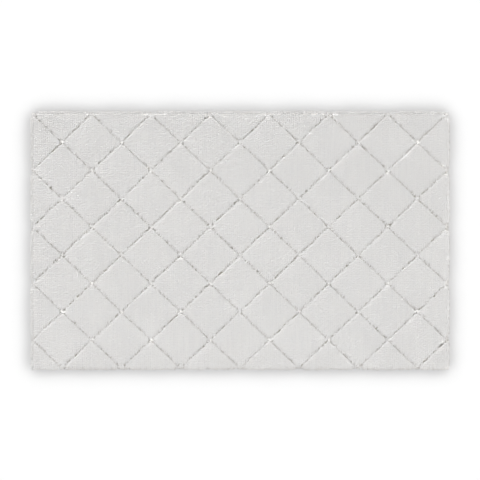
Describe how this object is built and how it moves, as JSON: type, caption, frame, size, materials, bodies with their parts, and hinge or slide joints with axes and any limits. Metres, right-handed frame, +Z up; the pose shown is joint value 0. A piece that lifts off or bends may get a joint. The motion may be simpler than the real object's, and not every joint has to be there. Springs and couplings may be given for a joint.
{
  "type": "bath mat",
  "caption": "Rectangular tufted bath mat with cut pile standing in diamond blocks between narrow grooves, a stitched hem and an anti-slip coated underside.",
  "frame": {"origin": "on the floor, under the middle of the mat", "axes": "+X along the mat's length, +Y across it towards the back edge, whose corners lie between diamonds, +Z up out of the pile"},
  "size_m": [0.864, 0.533, 0.0154],
  "materials": {
    "cut_pile": "white cut-pile cotton, matt, combed towards the front edge",
    "ground_cloth": "unbleached plain-weave cotton canvas",
    "anti_slip_coating": "poured natural latex, cloth-marked, satin",
    "hem_thread": "spun polyester sewing thread",
    "care_label": "blank white satin ribbon"
  },
  "bodies": {
    "root": {"anti_slip_coating": "anti_slip_coating", "care_label": "care_label", "ground_cloth": "ground_cloth", "hem_thread": "hem_thread", "pile_edge_back": "cut_pile", "pile_edge_front": "cut_pile", "pile_edge_left": "cut_pile", "pile_edge_right": "cut_pile", "pile_row1_diamond1": "cut_pile", "pile_row1_diamond2": "cut_pile", "pile_row1_diamond3": "cut_pile", "pile_row1_diamond4": "cut_pile", "pile_row1_diamond5": "cut_pile", "pile_row1_diamond6": "cut_pile", "pile_row2_diamond1": "cut_pile", "pile_row2_diamond2": "cut_pile", "pile_row2_diamond3": "cut_pile", "pile_row2_diamond4": "cut_pile", "pile_row2_diamond5": "cut_pile", "pile_row2_diamond6": "cut_pile", "pile_row2_diamond7": "cut_pile", "pile_row3_diamond1": "cut_pile", "pile_row3_diamond2": "cut_pile", "pile_row3_diamond3": "cut_pile", "pile_row3_diamond4": "cut_pile", "pile_row3_diamond5": "cut_pile", "pile_row3_diamond6": "cut_pile", "pile_row4_diamond1": "cut_pile", "pile_row4_diamond2": "cut_pile", "pile_row4_diamond3": "cut_pile", "pile_row4_diamond4": "cut_pile", "pile_row4_diamond5": "cut_pile", "pile_row4_diamond6": "cut_pile", "pile_row4_diamond7": "cut_pile", "pile_row5_diamond1": "cut_pile", "pile_row5_diamond2": "cut_pile", "pile_row5_diamond3": "cut_pile", "pile_row5_diamond4": "cut_pile", "pile_row5_diamond5": "cut_pile", "pile_row5_diamond6": "cut_pile", "pile_row6_diamond1": "cut_pile", "pile_row6_diamond2": "cut_pile", "pile_row6_diamond3": "cut_pile", "pile_row6_diamond4": "cut_pile", "pile_row6_diamond5": "cut_pile", "pile_row6_diamond6": "cut_pile", "pile_row6_diamond7": "cut_pile", "pile_row7_diamond1": "cut_pile", "pile_row7_diamond2": "cut_pile", "pile_row7_diamond3": "cut_pile", "pile_row7_diamond4": "cut_pile", "pile_row7_diamond5": "cut_pile", "pile_row7_diamond6": "cut_pile", "pile_row8_diamond1": "cut_pile", "pile_row8_diamond2": "cut_pile", "pile_row8_diamond3": "cut_pile", "pile_row8_diamond4": "cut_pile", "pile_row8_diamond5": "cut_pile", "pile_row8_diamond6": "cut_pile", "pile_row8_diamond7": "cut_pile"}
  },
  "joints": []
}
